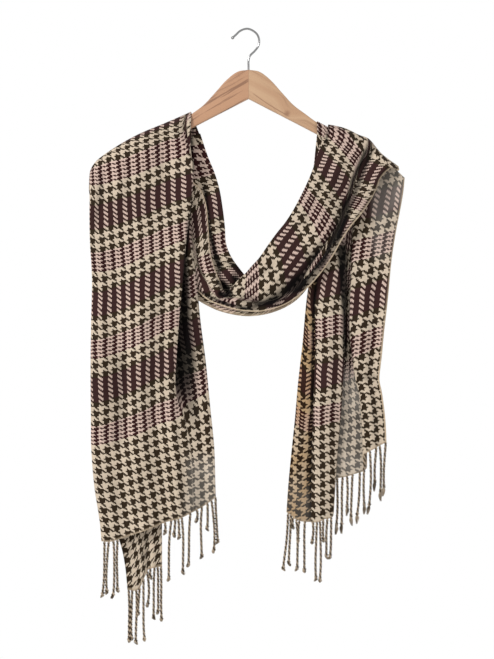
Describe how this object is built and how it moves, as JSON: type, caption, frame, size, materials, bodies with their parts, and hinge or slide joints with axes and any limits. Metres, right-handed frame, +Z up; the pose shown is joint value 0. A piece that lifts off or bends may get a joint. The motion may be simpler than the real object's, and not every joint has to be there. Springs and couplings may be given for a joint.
{
  "type": "long fringed scarf draped on a wooden hanger",
  "caption": "Long woven scarf with twisted fringe, draped in a swag over both arms of a flat wooden hanger with a wire hook.",
  "frame": {"origin": "inside top of the hanger's hook, where a rail carries it", "axes": "+Z up along the hanging direction, +X to the right along the hanger's arms, -Y towards the front"},
  "size_m": [0.4529, 0.0387, 0.8856],
  "materials": {
    "wood": "light satin-lacquered wood with a fine straight grain",
    "steel_wire": "polished bright wire",
    "woven_cloth": "soft matt twill in a houndstooth and glen check of brown, plum, cream and pale pink",
    "fringe_yarn": "matt twisted two-ply yarn, dark brown and cream"
  },
  "bodies": {
    "root": {"hanger_body": "wood", "hanger_hook": "steel_wire", "left_tail_front": "woven_cloth", "left_tail_back": "woven_cloth", "swag_back": "woven_cloth", "swag_front": "woven_cloth", "right_tail": "woven_cloth", "fringe_left_front": "fringe_yarn", "fringe_left_back": "fringe_yarn", "fringe_right_inner": "fringe_yarn", "fringe_right_middle": "fringe_yarn", "fringe_right_outer": "fringe_yarn"}
  },
  "joints": []
}
